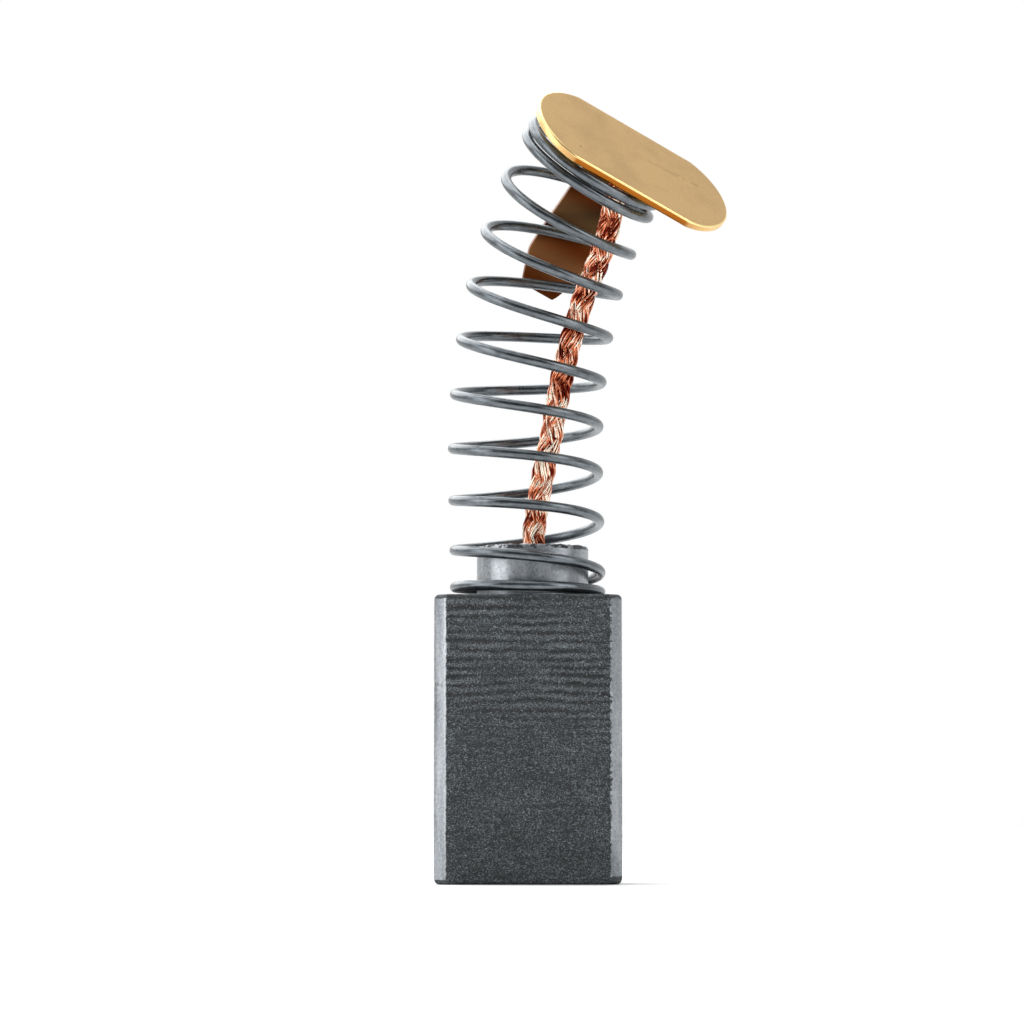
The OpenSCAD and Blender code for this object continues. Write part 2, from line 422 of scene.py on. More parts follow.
@dataclass(frozen=True)
class LineMark:
    """A faint uneven mark along a straight line, in millimetres."""

    start: Triple
    end: Triple
    width: float
    waver_per_mm: float = 2.2
    waver: float = 0.45

    def pattern(self, tree: bpy.types.NodeTree, where: bpy.types.NodeSocket) -> bpy.types.NodeSocket:
        """Strength of the mark: 1 on the line and 0 at its width, at places that random noise has moved.

        Args:
            tree: The node tree.
            where: Object coordinates.

        Returns:
            The strength's socket.
        """
        a, b = np.array(self.start) * MM, np.array(self.end) * MM
        length = float(np.linalg.norm(b - a))
        along = ((b - a) / length).tolist()
        cloud = {"Vector": where, "Scale": self.waver_per_mm / MM, "Detail": 3.0}
        uneven = add_node(tree, "TexNoise", cloud, "Color")
        shift = add_node(tree, "VectorMath", {0: uneven, 1: (0.5,) * 3}, operation="SUBTRACT")
        reach = [self.waver * MM] * 3
        moved = add_node(tree, "VectorMath", {0: shift, 1: reach, 2: where}, operation="MULTIPLY_ADD")
        rel = add_node(tree, "VectorMath", {0: moved, 1: a.tolist()}, operation="SUBTRACT")
        dot = add_node(tree, "VectorMath", {0: rel, 1: along}, "Value", operation="DOT_PRODUCT")
        held = add_node(tree, "Clamp", {"Value": dot, "Min": 0.0, "Max": length})
        foot = add_node(tree, "VectorMath", {0: along, "Scale": held}, operation="SCALE")
        away = add_node(tree, "VectorMath", {0: rel, 1: foot}, "Value", operation="DISTANCE")
        fall = {"Value": away, "From Min": 0.0, "From Max": self.width * MM, "To Min": 1.0, "To Max": 0.0}
        return add_node(tree, "MapRange", fall)


@dataclass(frozen=True)
class Finish(ABC):
    """What a surface is made of and how it was made, with the shader that gives its look."""

    name: str

    @abstractmethod
    def sockets(self, tree: bpy.types.NodeTree) -> dict[str, Any]:
        """Values and patterns for the shader's sockets."""

    def build(self) -> bpy.types.Material:
        """Makes the material.

        Returns:
            The material, with one Principled shader.
        """
        material = bpy.data.materials.new(self.name)
        material.use_nodes = True
        tree = material.node_tree
        tree.nodes.clear()
        shader = add_node(tree, "BsdfPrincipled", self.sockets(tree), "BSDF")
        add_node(tree, "OutputMaterial", {"Surface": shader})
        return material


@dataclass(frozen=True)
class PressedGraphite(Finish):
    """Pressed carbon-graphite, sawn on its faces and left as pressed on its bevels and stub."""

    # Sawn skin is dark, matt and gritty, with painted glints on a few grains. Pressed skin is a lighter grey
    # with long streaks, partly its own tone and partly painted sheen.
    name: str = "pressed_graphite"
    sawn_tones: Stops = ((0.41, "0c0e0f"), (0.56, "262a2d"), (0.70, "6b7276"))
    pressed_and_sheen_tones: Stops = ((0.3, "5d6266"), (0.46, "898e92"), (0.62, "a9adb1"))
    painted_glint_colour: str = "c3cace"
    # The real grit is finer than 0.03 mm. Grit and the painted glints on grains are drawn coarser, so that
    # they show.
    grit_per_mm: Triple = (15.0, 15.0, 22.5)
    painted_glint_per_mm: Triple = (14.0, 14.0, 18.0)
    clump_per_mm: Triple = (5.0, 5.0, 11.0)
    blotch_per_mm: Triple = (0.8, 0.8, 1.2)
    border_per_mm: Triple = (5.0, 5.0, 7.0)
    painted_sheen_per_mm: Triple = (1.3, 1.3, 0.3)
    speck_per_mm: Triple = (9.0, 9.0, 9.0)
    grit_share: float = 0.82
    painted_sheen_share: float = 0.55
    line_tone: float = 0.17
    blotch_tone: float = 0.12
    painted_glint_above: float = 0.67
    painted_glint_share: float = 0.5
    border_reach: float = 2.0
    border_from: float = 1.36
    border_to: float = 1.56
    # Values on the pressed skin and on the sawn skin
    roughness: tuple[float, float] = (0.28, 0.6)
    metallic: tuple[float, float] = (0.75, 0.1)
    relief: tuple[float, float] = (0.1, 1.0)
    grit_depth: float = 0.09

    def sockets(self, tree: bpy.types.NodeTree) -> dict[str, Any]:
        """Both skins, mixed by the value "sawn" with a ragged border; saw lines are toned by "saw_lines".

        Args:
            tree: The node tree.

        Returns:
            The shader's sockets.
        """
        where = add_node(tree, "TexCoord", out="Object")
        sawn = add_node(tree, "Attribute", out="Fac", attribute_name="sawn")
        lines = add_node(tree, "Attribute", out="Fac", attribute_name="saw_lines")
        fine = grain_pattern(tree, where, self.grit_per_mm, 3.0)
        clumps = grain_pattern(tree, where, self.clump_per_mm, 3.0)
        grit = add_node(tree, "Mix", {"Factor": self.grit_share, "A": clumps, "B": fine})
        blotch = grain_pattern(tree, where, self.blotch_per_mm, 3.0)
        tone = add_node(tree, "Math", {0: lines, 1: self.line_tone, 2: grit}, operation="MULTIPLY_ADD")
        tone = add_node(tree, "Math", {0: blotch, 1: self.blotch_tone, 2: tone}, operation="MULTIPLY_ADD")
        # Painted glints: a few grains get a pale colour that stands for light glancing off them.
        bright = grain_pattern(tree, where, self.painted_glint_per_mm, 2.0)
        bright = add_node(tree, "Math", {0: bright, 1: self.painted_glint_above}, operation="GREATER_THAN")
        bright = add_node(tree, "Math", {0: bright, 1: self.painted_glint_share}, operation="MULTIPLY")
        gritty = add_node(tree, "ValToRGB", {"Fac": tone}, stops=self.sawn_tones)
        gritty = layered(tree, gritty, [(bright, linear(self.painted_glint_colour))])

        # Pressed skin: a lighter grey with long upright streaks, partly its own smoother tone and partly
        # painted sheen for the bright sides it reflects.
        painted_sheen = grain_pattern(tree, where, self.painted_sheen_per_mm, 4.0)
        specks = grain_pattern(tree, where, self.speck_per_mm, 3.0)
        even = add_node(tree, "Mix", {"Factor": self.painted_sheen_share, "A": specks, "B": painted_sheen})
        even = add_node(tree, "ValToRGB", {"Fac": even}, stops=self.pressed_and_sheen_tones)

        ragged = grain_pattern(tree, where, self.border_per_mm, 5.0)
        border = add_node(tree, "Math", {0: ragged, 1: self.border_reach, 2: sawn}, operation="MULTIPLY_ADD")
        limits = {"Value": border, "From Min": self.border_from, "From Max": self.border_to}
        share = add_node(tree, "MapRange", limits, interpolation_type="SMOOTHSTEP")
        rough, metal, relief = (
            add_node(tree, "MapRange", {"Value": share, "To Min": pressed, "To Max": cut})
            for pressed, cut in (self.roughness, self.metallic, self.relief)
        )
        height = add_node(tree, "Math", {0: grit, 1: relief}, operation="MULTIPLY")
        return {
            "Base Color": layered(tree, even, [(share, gritty)]),
            "Roughness": rough,
            "Metallic": metal,
            "Normal": add_node(tree, "Bump", {"Height": height, "Distance": self.grit_depth * MM}),
        }


@dataclass(frozen=True)
class DrawnSteel(Finish):
    """Spring wire of drawn and tempered steel."""

    # It is dull grey, with long soft highlights, fine drawing lines and a few darker scale marks.
    name: str = "drawn_spring_steel"
    tones: Stops = ((0.25, "363a3e"), (0.75, "80868a"))
    # Real drawing lines are about 0.01 mm apart, and are drawn coarser, so that they show.
    drawn_per_mm: Triple = (0.5, 14.0, 14.0)
    scale_per_mm: Triple = (2.6, 5.0, 5.0)
    scale_share: float = 0.5
    roughness: float = 0.19
    scale_roughness: float = 0.22
    depth: float = 0.006

    def sockets(self, tree: bpy.types.NodeTree) -> dict[str, Any]:
        """Drawing lines and scale that follow the wire by its value "grain".

        Args:
            tree: The node tree.

        Returns:
            The shader's sockets.
        """
        where = add_node(tree, "Attribute", out="Vector", attribute_name="grain")
        drawn = grain_pattern(tree, where, self.drawn_per_mm, 3.0, mm=1.0)
        scale = grain_pattern(tree, where, self.scale_per_mm, 5.0, mm=1.0)
        tone = add_node(tree, "Mix", {"Factor": self.scale_share, "A": drawn, "B": scale})
        rough = {0: scale, 1: self.scale_roughness, 2: self.roughness}
        return {
            "Base Color": add_node(tree, "ValToRGB", {"Fac": tone}, stops=self.tones),
            "Metallic": 1.0,
            "Roughness": add_node(tree, "Math", rough, operation="MULTIPLY_ADD"),
            "Normal": add_node(tree, "Bump", {"Height": tone, "Distance": self.depth * MM}),
        }


@dataclass(frozen=True)
class DrawnCopper(Finish):
    """Fine drawn copper filaments, braided bare."""

    # They are pink-orange, each a little different from the next, with painted pale highlights and painted
    # dark red shade in the gaps.
    name: str = "copper_filaments"
    tones: Stops = ((0.08, "5e160a"), (0.38, "df8259"), (0.72, "fff0dc"))
    painted_highlight_per_mm: Triple = (1.1, 2.0, 2.0)
    painted_highlight_strength: float = 2.9
    roughness: float = 0.26

    def sockets(self, tree: bpy.types.NodeTree) -> dict[str, Any]:
        """A tone for each filament by its value "tone", which also changes along it by "grain".

        Args:
            tree: The node tree.

        Returns:
            The shader's sockets.
        """
        where = add_node(tree, "Attribute", out="Vector", attribute_name="grain")
        own = add_node(tree, "Attribute", out="Fac", attribute_name="tone")
        # Painted highlights and shade: the tone swings along each filament towards the ramp's pale and dark
        # red ends.
        along = grain_pattern(tree, where, self.painted_highlight_per_mm, 3.0, mm=1.0)
        swing = add_node(tree, "Math", {0: along, 1: 0.5}, operation="SUBTRACT")
        tone = add_node(tree, "Math", {0: swing, 1: self.painted_highlight_strength, 2: own}, operation="MULTIPLY_ADD")
        return {
            "Base Color": add_node(tree, "ValToRGB", {"Fac": tone}, stops=self.tones),
            "Metallic": 1.0,
            "Roughness": self.roughness,
        }


@dataclass(frozen=True)
class RolledBrass(Finish):
    """Rolled brass sheet, sheared at its edges, with painted shade on its tongue and painted reflections on
    its edges.
    """

    # Matt tan face with faint smudges; painted darker reflection on the long edges, painted highlight on rim
    # and ends, painted shade on the tongue.
    name: str = "rolled_brass"
    face_tones: Stops = ((0.35, "bd9b68"), (0.55, "caa772"))
    fleck_tones: Stops = ((0.3, "8c7446"), (0.7, "f0d9a4"))
    painted_shade_tones: Stops = ((0.38, "321607"), (0.6, "5c2b0d"))
    # Painted reflection: the sheared long edges get a deeper gold for the darker surroundings they reflect.
    edge: str = "9a5a1c"
    # Painted highlight on the upper rim and the end faces
    rim: str = "ffe3a0"
    speck_colour: str = "321607"
    mark_colour: str = "5c2b0d"
    smudge_per_mm: Triple = (0.45, 0.45, 0.45)
    # The real rolling grain is about 0.01 mm, and is drawn coarser, so that it shows.
    fleck_per_mm: Triple = (16.0, 16.0, 16.0)
    shade_band_per_mm: Triple = (0.1, 0.1, 0.8)
    fleck_share: float = 0.12
    speck_at: Triple = (2.13, -4.58, 29.75)
    speck_r: float = 0.045
    speck_share: float = 0.7
    mark: LineMark = LineMark((4.94, -2.04, 29.58), (7.04, -1.01, 28.7), 0.09)
    mark_share: float = 0.24
    roughness: float = 0.42
    smudge_roughness: float = 0.1
    edge_gloss: float = 0.22
    depth: float = 0.002

    def sockets(self, tree: bpy.types.NodeTree) -> dict[str, Any]:
        """Faces, with painted reflection on the edges by "edge" and painted highlight by "rim", under the
        tongue's painted shade.

        Args:
            tree: The node tree.

        Returns:
            The shader's sockets.
        """
        where = add_node(tree, "TexCoord", out="Object")
        edge, rim, painted_shade = (
            add_node(tree, "Attribute", out="Fac", attribute_name=name) for name in ("edge", "rim", "painted_shade")
        )
        smudge = grain_pattern(tree, where, self.smudge_per_mm, 4.0)
        fleck = grain_pattern(tree, where, self.fleck_per_mm, 3.0)
        # The tongue's brown is painted shade, with bands that stand for the dark reflections of its bends.
        band = grain_pattern(tree, where, self.shade_band_per_mm, 2.0)
        speck_place = {0: where, 1: [v * MM for v in self.speck_at]}
        away = add_node(tree, "VectorMath", speck_place, "Value", operation="DISTANCE")
        speck = add_node(tree, "Math", {0: away, 1: self.speck_r * MM}, operation="LESS_THAN")
        speck = add_node(tree, "Math", {0: speck, 1: self.speck_share}, operation="MULTIPLY")
        mark = self.mark.pattern(tree, where)
        mark = add_node(tree, "Math", {0: mark, 1: self.mark_share}, operation="MULTIPLY")
        face = add_node(tree, "ValToRGB", {"Fac": smudge}, stops=self.face_tones)
        layers = [
            (self.fleck_share, add_node(tree, "ValToRGB", {"Fac": fleck}, stops=self.fleck_tones)),
            (speck, linear(self.speck_colour)),
            (mark, linear(self.mark_colour)),
            (edge, linear(self.edge)),
            (rim, linear(self.rim)),
            (painted_shade, add_node(tree, "ValToRGB", {"Fac": band}, stops=self.painted_shade_tones)),
        ]
        rough = {0: smudge, 1: self.smudge_roughness, 2: self.roughness}
        rough = add_node(tree, "Math", rough, operation="MULTIPLY_ADD")
        glossy = {0: edge, 1: -self.edge_gloss, 2: rough}
        return {
            "Base Color": layered(tree, face, layers),
            "Metallic": 1.0,
            "Roughness": add_node(tree, "Math", glossy, operation="MULTIPLY_ADD"),
            "Normal": add_node(tree, "Bump", {"Height": fleck, "Distance": self.depth * MM}),
        }


@dataclass(frozen=True)
class DullGrain(Finish):
    """A plain dull metal or powder with an even grain of two tones."""

    tones: Stops
    metallic: float
    roughness: float
    grain_per_mm: float
    depth: float

    def sockets(self, tree: bpy.types.NodeTree) -> dict[str, Any]:
        """Two tones of grain with a bump.

        Args:
            tree: The node tree.

        Returns:
            The shader's sockets.
        """
        where = add_node(tree, "TexCoord", out="Object")
        grain = grain_pattern(tree, where, (self.grain_per_mm,) * 3, 4.0)
        return {
            "Base Color": add_node(tree, "ValToRGB", {"Fac": grain}, stops=self.tones),
            "Metallic": self.metallic,
            "Roughness": self.roughness,
            "Normal": add_node(tree, "Bump", {"Height": grain, "Distance": self.depth * MM}),
        }


@dataclass(frozen=True)
class PaleFloor(Finish):
    """A plain matt floor that stays pale and even."""

    name: str = "pale_floor"
    colour: str = "fbfbfb"
    roughness: float = 0.9

    def sockets(self, tree: bpy.types.NodeTree) -> dict[str, Any]:
        """One colour all over."""
        return {"Base Color": linear(self.colour), "Roughness": self.roughness}


# Sub-assemblies


class SubAssembly(ABC):
    """One piece of the brush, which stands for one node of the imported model."""

    name: ClassVar[str]
    node: ClassVar[str]
    slot: ClassVar[Slot]
    body: ClassVar[Body]
    finish: ClassVar[Finish]
    sharp_degrees: ClassVar[float | None] = None

    @abstractmethod
    def surfaces(self) -> list[Surface]:
        """The closed skins of the piece, in millimetres."""

    def carry(self, piece: bpy.types.Object) -> None:
        """Makes the piece ride on its body."""
        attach(piece, self.body.value)

    def build(self) -> bpy.types.Object:
        """Makes the piece, dresses it and lets it stand for its node.

        Edges sharper than sharp_degrees are marked, so that flats stay flat.

        Returns:
            The finished piece.
        """
        piece = make_piece(self.name, self.surfaces(), self.finish.build())
        if self.sharp_degrees is not None:
            piece.data.set_sharp_from_angle(angle=math.radians(self.sharp_degrees))
        self.carry(piece)
        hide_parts(self.node)
        return piece


class SqueezedPiece(SubAssembly):
    """A piece that lies between the block and the cap, and rides on neither."""

    still_below: ClassVar[Triple] = (0.0, 0.0, 12.6)
    still_above: ClassVar[Triple] = (2.45, -1.8, 27.4)

    def carry(self, piece: bpy.types.Object) -> None:
        """Leaves the piece on no body, with its place baked into its points.

        Args:
            piece: The piece.
        """
        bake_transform(piece)


@dataclass
class CarbonBlock(SubAssembly):
    """The pressed block and its stub in one piece, as closed rings from the contact face up to the hole."""

    name: ClassVar[str] = "carbon_block_skin"
    node: ClassVar[str] = "carbon_block"
    slot: ClassVar[Slot] = Slot.CARBON
    body: ClassVar[Body] = Body.BLOCK
    finish: ClassVar[Finish] = PressedGraphite()
    sharp_degrees: ClassVar[float | None] = 50.0

    width: float = 7.6
    depth: float = 6.5
    length: float = 11.7
    bevel: float = 0.5
    edge_round: float = 0.2
    stub_d: float = 4.6
    stub_l: float = 2.1
    stub_round: float = 0.12
    stub_fillet: float = 0.06
    stub_shift: float = 0.2
    hole_d: float = 1.82
    hole_at: tuple[float, float] = (0.25, 0.3)
    hole_depth: float = 4.6
    hole_edge: float = 0.05
    # Share of sawn skin on the faces, the narrow sides, the foot, the shoulder and at a bevel's arris
    face_skin: float = 1.0
    side_skin: float = 0.85
    foot_skin: float = 0.8
    shoulder_skin: float = 0.75
    arris_skin: float = 0.62
    # How far the sawn skin runs on to the left and right bevels
    ragged_left: float = 0.1
    ragged_right: float = 0.36
    # Saw lines, which come in between two heights
    line_spacing: float = 0.35
    line_depth: float = 0.03
    lines_from: float = 4.5
    lines_full: float = 9.0
    lines_faint: float = 0.12
    lines_patchy: float = 0.6
    line_crest: float = 0.45
    line_groove: float = 1.45
    line_power: float = 1.2
    # How far the slow and the quick wander shift a line, in line spacings
    wander_reach: tuple[float, float] = (0.32, 0.22)
    # The share of sawn skin above which saw lines show
    lined_skin: float = 0.9
    grit_depth: float = 0.006
    # Chips along the arrises of the broad faces
    chip_reach: float = 0.12
    chip_left: float = 0.03
    chip_right: float = 0.12
    # The nick in the front left bevel
    nick_z: float = 8.07
    nick_width: float = 0.07
    nick_depth: float = 0.05
    nick_reach: float = 0.3
    nick_run: float = 0.6
    # The crumbled rim of the stub
    crumbled_down: float = 0.16
    crumbled_in: float = 0.3
    crumb_depth: float = 0.03
    rim_band: float = 0.33
    # Share of sawn skin on the crumbled rim, and how far coarse and fine crumbs change it
    crumb_skin: Triple = (0.5, 0.6, 0.45)
    # The broken lower right corner
    corner_normal: Triple = (0.55, -0.45, -0.70)
    corner_depth: float = 0.46
    # Points in a face, a bevel, a side and another bevel, and rings up the sides
    run_points: tuple[int, ...] = (96, 10, 72, 10)
    side_rings: int = 170
    # Rings in the edge's rounding, up the stub's wall, in its close band and in its own rounding
    edge_rings: int = 6
    wall_rings: int = 20
    rim_rings: int = 8
    round_rings: int = 4
    wall_gap: float = 0.02
    round_from: float = 0.3
    # Places of the rings on the foot, on the shoulder and on the top, as shares of the way
    foot_steps: tuple[float, float] = (0.5, 0.85)
    shoulder_steps: Triple = (0.35, 0.7, 1.0)
    closing_from: float = 0.08
    closing_rings: int = 12
    # Share of the edge's rounding that has the shoulder's skin
    rounded_skin: float = 0.8

    slow_wander: ClassVar[Grain] = Grain(3, (3.4, 3.4, 1.0))
    quick_wander: ClassVar[Grain] = Grain(8, (0.6, 0.6, 0.3))
    faint_patches: ClassVar[Grain] = Grain(13, (1.5, 1.5, 0.8))
    grit: ClassVar[Grain] = Grain(4, (0.12, 0.12, 0.12))
    chips: ClassVar[Grain] = Grain(5, (0.22, 0.22, 0.17))
    rim_breaks: ClassVar[Grain] = Grain(6, (0.12, 0.12, 0.12))
    crumbs: ClassVar[Grain] = Grain(7, (0.42, 0.42, 0.42))
    fine_crumbs: ClassVar[Grain] = Grain(14, (0.11, 0.11, 0.11))

    def top(self) -> float:
        """Height of the stub's top."""
        return self.length + self.stub_l

    def outline(self) -> tuple[np.ndarray, np.ndarray, np.ndarray]:
        """The bevelled section, as points that run anticlockwise from the left end of the front face.

        The eight corners are joined by straight runs of evenly spaced points, then eased by a moving mean
        of three. On a bevel the share of sawn skin falls evenly from the broad face's arris to nothing.

        Returns:
            The points, their outward normals and the share of sawn skin at each.
        """
        w, d, b = self.width / 2, self.depth / 2, self.bevel
        corners = np.array([
            [b - w, -d], [w - b, -d], [w, b - d], [w, d - b],
            [w - b, d], [b - w, d], [-w, d - b], [-w, b - d],
        ])
        runs, normals, sawn = [], [], []
        for i, count in enumerate(self.run_points * 2):
            a, c = corners[i], corners[(i + 1) % len(corners)]
            t = (np.arange(count) + 0.5) / count
            heading = unit(c - a)
            runs.append(a + (c - a) * t[:, None])
            normals.append(np.repeat([[heading[1], -heading[0]]], count, 0))
            if i % 2 == 0:
                sawn.append(np.full(count, self.face_skin if i % 4 == 0 else self.side_skin))
                continue
            from_face = t if i % 4 == 1 else 1 - t
            ragged = self.ragged_right if a[0] > 0 else self.ragged_left
            sawn.append(np.clip(self.arris_skin - from_face * b * math.sqrt(2) / ragged, 0, 1))
        points, normal = np.concatenate(runs), np.concatenate(normals)
        points = (np.roll(points, 1, 0) + points + np.roll(points, -1, 0)) / 3
        for step in (-1, 1):
            normal = normal + 0.5 * (np.roll(normal, step, 0) - normal)
        return points, unit(normal), np.concatenate(sawn)

    def stub_profile(self) -> tuple[np.ndarray, np.ndarray]:
        """The stub's side view: a plain wall on a small fillet, close rings near its rim, then the rounding.

        Returns:
            The radii and the heights.
        """
        stub_r, top = self.stub_d / 2, self.top()
        wall_top = top - self.rim_band - self.wall_gap
        wall = np.linspace(self.length + 2 * self.stub_fillet, wall_top, self.wall_rings)
        rim = np.linspace(top - self.rim_band, top - self.stub_round, self.rim_rings)
        plain = np.concatenate([[self.length + self.stub_fillet], wall, rim])
        turn = np.linspace(self.round_from, QUARTER, self.round_rings)
        radii = np.concatenate([np.full(len(plain), stub_r), stub_r - self.stub_round * (1 - np.cos(turn))])
        return radii, np.concatenate([plain, top - self.stub_round * (1 - np.sin(turn))])

    def rings(self) -> tuple[np.ndarray, np.ndarray, np.ndarray]:
        """The unworn skin, ring by ring.

        A side ring is the outline moved in by the rounding at its height. The shoulder's rings blend the
        outline into the stub's circle at equal bearings, and the top's rings close in on the hole.

        Returns:
            The points, their outward directions on the sides, and the share of sawn skin.
        """
        outline, normal, sawn = self.outline()
        circle = around(np.arctan2(outline[:, 1], outline[:, 0]))
        r, turn = self.edge_round, np.linspace(0.0, QUARTER, self.edge_rings)
        plain = np.linspace(r, self.length - r, self.side_rings)[1:-1]
        inset = np.concatenate([r - r * np.sin(turn), np.zeros(len(plain)), r - r * np.cos(turn)])
        side_z = np.concatenate([r - r * np.cos(turn), plain, self.length - r + r * np.sin(turn)])
        side = outline - inset[:, None, None] * normal
        stub_radii, stub_z = self.stub_profile()
        stub_r, middle = self.stub_d / 2, np.array([self.stub_shift, 0.0])
        hole_r, hole, top = self.hole_d / 2, np.array(self.hole_at), self.top()
        bottom = top - self.hole_depth
        base = np.array([POLE_R, *self.foot_steps])[:, None, None] * side[0]
        stub_foot = middle + circle * (stub_r + self.stub_fillet)
        shoulder = between(side[-1], stub_foot, np.array(self.shoulder_steps))
        closing = np.linspace(self.closing_from, 1.0, self.closing_rings)
        top_face = between(middle + circle * (stub_r - self.stub_round), hole + circle * hole_r, closing)
        well = hole + circle * np.array([hole_r, hole_r, POLE_R])[:, None, None]
        stretches = [
            (base, np.zeros(len(base))),
            (side, side_z),
            (shoulder, np.full(len(shoulder), self.length)),
            (middle + circle * stub_radii[:, None, None], stub_z),
            (top_face, np.full(len(top_face), top)),
            (well, np.array([top - self.hole_edge, bottom, bottom])),
        ]
        points = np.concatenate([at_heights(flats, heights) for flats, heights in stretches])
        first, last = len(base), len(base) + len(side)
        by_the_end = np.abs(side_z - self.length / 2) > self.length / 2 - r * self.rounded_skin
        skin = np.zeros(points.shape[:2])
        skin[:first] = self.foot_skin
        skin[first:last] = np.maximum(sawn, self.shoulder_skin * by_the_end[:, None])
        skin[last : last + len(shoulder)] = self.shoulder_skin
        outward = np.zeros(points.shape)
        outward[first:last, :, :2] = normal
        return points, outward, skin

    def saw_lines(self, points: np.ndarray) -> np.ndarray:
        """Height of the wavy lines across the sawn faces, from -1 to 1.

        The line's phase is the height over the spacing, with a slow wander. The profile is a low crest
        with a narrow groove at each whole phase: crest - groove * (1 - |sin(pi * phase)|) ** power. Its
        strength fades in patches and falls off towards the lower half.

        Args:
            points: Points in millimetres.

        Returns:
            One value for each point.
        """
        z = points[..., 2]
        slow, quick = self.wander_reach
        wander = slow * self.slow_wander.at(points) + quick * self.quick_wander.at(points)
        flank = 1 - np.abs(np.sin(math.pi * (z / self.line_spacing + wander)))
        wave = self.line_crest - self.line_groove * flank**self.line_power
        patches = self.lines_patchy + self.lines_patchy * self.faint_patches.at(points)
        rise = smooth((z - self.lines_from) / (self.lines_full - self.lines_from))
        fade = self.lines_faint + (1 - self.lines_faint) * rise
        return np.clip(wave * patches * fade, -1, 1)

    def chipped(self, points: np.ndarray) -> np.ndarray:
        """Depth of the chips: random hollows within reach of an arris, deeper on the right.

        Args:
            points: Points in millimetres.

        Returns:
            One depth for each point.
        """
        x = points[..., 0]
        by_arris = np.abs(np.abs(x) - (self.width / 2 - self.bevel)) < self.chip_reach
        hollows = np.clip(self.chips.at(points), 0, 1) ** 1.5
        return np.where(by_arris, hollows * np.where(x > 0, self.chip_right, self.chip_left), 0.0)

    def nicked(self, points: np.ndarray) -> np.ndarray:
        """Depth of the nick: a bell-shaped groove across the left bevel, which runs out behind it.

        Args:
            points: Points in millimetres.

        Returns:
            One depth for each point.
        """
        bell = np.exp(-(((points[..., 2] - self.nick_z) / self.nick_width) ** 2))
        bell *= points[..., 0] < self.nick_reach - self.width / 2
        behind = self.bevel + self.nick_run - self.depth / 2 - points[..., 1]
        return self.nick_depth * bell * smooth(behind / self.nick_run)

    def surfaces(self) -> list[Surface]:
        """The worn skin: saw lines, grit, chips and the nick move its sides; rim and corner are broken.

        A point past the plane of the broken corner is moved back on to it.

        Returns:
            One skin, with the values "sawn" and "saw_lines".
        """
        points, outward, skin = self.rings()
        lines = self.saw_lines(points) * (skin > self.lined_skin)
        relief = self.line_depth * lines + self.grit_depth * self.grit.at(points) * skin
        relief -= self.chipped(points) * (outward[..., 1] != 0) + self.nicked(points)
        points = points + relief[..., None] * outward

        from_middle = np.hypot(points[..., 0] - self.stub_shift, points[..., 1])
        rim = points[..., 2] > self.top() - self.crumbled_down
        rim &= from_middle > self.stub_d / 2 - self.crumbled_in
        points[..., 2] += np.where(rim, self.crumb_depth * self.rim_breaks.at(points), 0.0)
        even, coarse, fine = self.crumb_skin
        crumbs = coarse * self.crumbs.at(points) + fine * self.fine_crumbs.at(points)
        skin = np.where(rim, even + crumbs, skin)

        inward = unit(np.array(self.corner_normal))
        corner = np.array([self.width / 2, -self.depth / 2, 0.0])
        past = np.clip((points - corner) @ inward + self.corner_depth, 0, None)
        points = points - past[..., None] * inward
        skin = np.where(past > 0, 1.0, skin)
        return [Surface(points, {"sawn": skin, "saw_lines": lines})]


@dataclass
class TampingPlug(SubAssembly):
    """The tamped powder round the pigtail's root, rough on top."""

    name: ClassVar[str] = "tamped_powder"
    node: ClassVar[str] = "tamping_plug"
    slot: ClassVar[Slot] = Slot.POWDER
    body: ClassVar[Body] = Body.BLOCK
    # Copper powder is dull and lumpy, dark brown to grey.
    finish: ClassVar[Finish] = DullGrain(
        name="tamped_copper_powder",
        tones=((0.35, "1f1b1a"), (0.65, "8b8078")),
        metallic=0.4,
        roughness=0.6,
        grain_per_mm=9.0,
        depth=0.06,
    )

    block: CarbonBlock
    clearance: float = 0.01
    sink: float = 0.1
    plain_wall: float = 0.6
    top_rings: int = 26
    sides: int = 72
    lump_height: float = 0.05
    grit_height: float = 0.03

    lumps: ClassVar[Grain] = Grain(11, (0.14, 0.14, 0.14))
    grit: ClassVar[Grain] = Grain(12, (0.07, 0.07, 0.07))

    def surfaces(self) -> list[Surface]:
        """Revolved rings, the top ones raised and lowered by two grains.

        Returns:
            One skin.
        """
        outer_r, top = self.block.hole_d / 2 - self.clearance, self.block.top()
        foot = [[POLE_R, outer_r, outer_r], np.linspace(outer_r, POLE_R, self.top_rings)]
        low = [top - self.block.hole_depth] * 2 + [top - self.plain_wall]
        heights = np.concatenate([low, np.full(self.top_rings, top - self.sink)])
        points = revolved(np.concatenate(foot), heights, self.sides)
        rough = self.lump_height * self.lumps.at(points) + self.grit_height * self.grit.at(points)
        points[3:-1, :, 2] += rough[3:-1]
        points[..., :2] += np.array(self.block.hole_at)
        return [Surface(points)]


